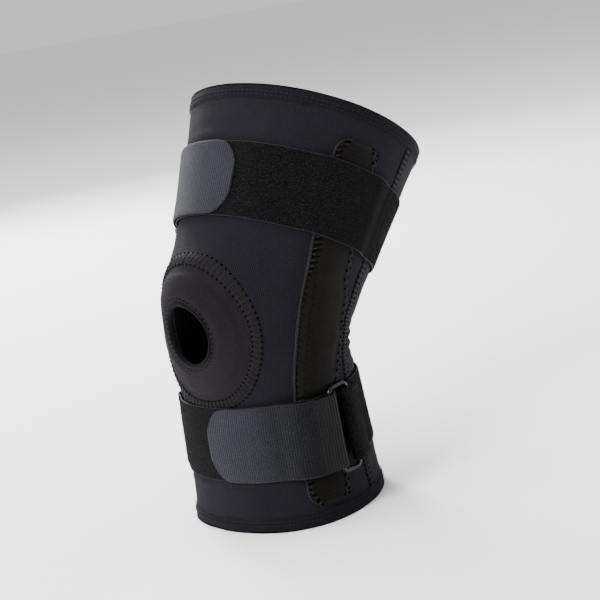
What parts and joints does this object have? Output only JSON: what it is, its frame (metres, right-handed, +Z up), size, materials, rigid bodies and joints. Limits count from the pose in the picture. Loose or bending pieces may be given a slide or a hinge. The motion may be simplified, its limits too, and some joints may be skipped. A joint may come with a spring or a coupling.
{
  "type": "hinged knee brace",
  "caption": "Bent pull-on neoprene knee sleeve with an open kneecap panel, side hinge pockets over flat stays, and a wrap strap through a wire ring above and below the knee.",
  "frame": {"origin": "bottom centre of the whole brace's box, on the surface that the lower hem stands on", "axes": "+Z up the calf, -Y towards the front of the knee (the kneecap opening), +X the side of the lower strap's ring"},
  "size_m": [0.1676, 0.2157, 0.2915],
  "materials": {
    "neoprene": "knit-faced neoprene, matt",
    "patella_panel": "knit-faced neoprene, matt",
    "binding": "turned stretch binding",
    "foam": "open-cell pad with knit cover",
    "hem": "turned hem with two rows of cover stitch",
    "pocket": "stretch woven cover with zigzag seams",
    "stay": "satin, rolled edges",
    "vinyl": "dipped cap",
    "steel": "zinc plated",
    "nylon": "moulded",
    "pile": "brushed loop pile",
    "webbing": "ribbed elastic with brushed hook tape",
    "ring": "black nickel"
  },
  "bodies": {
    "calf": {"front_panel_calf": "neoprene", "back_panel_calf": "neoprene", "hem_band_bottom": "hem", "front_panel_knee": "neoprene", "back_panel_knee": "neoprene", "patella_panel": "patella_panel", "patella_binding": "binding", "patella_pad": "foam", "lower_strap_band": "pile", "lower_strap_back": "pile", "lower_ring_keeper": "pile", "lateral_pocket_calf": "pocket", "lateral_pocket_knee": "pocket", "medial_pocket_calf": "pocket", "medial_pocket_knee": "pocket", "lateral_lower_stay": "stay", "lateral_lower_stay_tip": "vinyl", "medial_lower_stay": "stay", "medial_lower_stay_tip": "vinyl"},
    "thigh": {"front_panel_thigh": "neoprene", "back_panel_thigh": "neoprene", "hem_band_top": "hem", "upper_strap_band": "pile", "upper_strap_back": "pile", "upper_ring_keeper": "pile", "lateral_pocket_thigh": "pocket", "medial_pocket_thigh": "pocket", "lateral_upper_stay": "stay", "lateral_upper_stay_tip": "vinyl", "lateral_outer_plate": "steel", "lateral_inner_plate": "steel", "lateral_outer_washer": "nylon", "lateral_inner_washer": "nylon", "lateral_pivot_rivet": "steel", "lateral_plate_rivet_a": "steel", "lateral_plate_rivet_b": "steel", "medial_upper_stay": "stay", "medial_upper_stay_tip": "vinyl", "medial_outer_plate": "steel", "medial_inner_plate": "steel", "medial_outer_washer": "nylon", "medial_inner_washer": "nylon", "medial_pivot_rivet": "steel", "medial_plate_rivet_a": "steel", "medial_plate_rivet_b": "steel"},
    "lower_ring": {"lower_ring": "ring", "lower_strap_fold": "webbing"},
    "lower_tab": {"lower_strap_tab": "webbing"},
    "upper_ring": {"upper_ring": "ring", "upper_strap_fold": "webbing"},
    "upper_tab": {"upper_strap_tab": "webbing"}
  },
  "joints": [
    {"name": "knee_flexion", "type": "hinge", "parent": "calf", "child": "thigh", "pos_m": [0.0027, -0.0447, 0.124], "axis": [-1, 0, 0], "range_deg": [-18, 72], "deforming": ["front_panel_knee", "back_panel_knee", "lateral_pocket_knee", "medial_pocket_knee", "patella_panel", "patella_binding", "patella_pad", "back_panel_thigh", "back_panel_calf", "upper_strap_back", "lower_strap_back"]},
    {"name": "lower_ring_swing", "type": "hinge", "parent": "calf", "child": "lower_ring", "pos_m": [0.0702, -0.0333, 0.05995], "axis": [-0.0335, 0.0032, 0.9994], "range_deg": [0, 30], "deforming": ["lower_strap_fold"]},
    {"name": "lower_tab_peel", "type": "hinge", "parent": "lower_ring", "child": "lower_tab", "pos_m": [0.0714, -0.0502, 0.06005], "axis": [-0.0335, 0.0032, 0.9994], "range_deg": [0, 90], "deforming": ["lower_strap_fold"]},
    {"name": "upper_ring_swing", "type": "hinge", "parent": "thigh", "child": "upper_ring", "pos_m": [-0.07497, 0.00863, 0.19124], "axis": [0.1443, -0.5036, -0.8518], "range_deg": [0, 30], "deforming": ["upper_strap_fold"]},
    {"name": "upper_tab_peel", "type": "hinge", "parent": "upper_ring", "child": "upper_tab", "pos_m": [-0.07594, -0.00605, 0.19975], "axis": [0.1443, -0.5036, -0.8518], "range_deg": [0, 90], "deforming": ["upper_strap_fold"]}
  ]
}
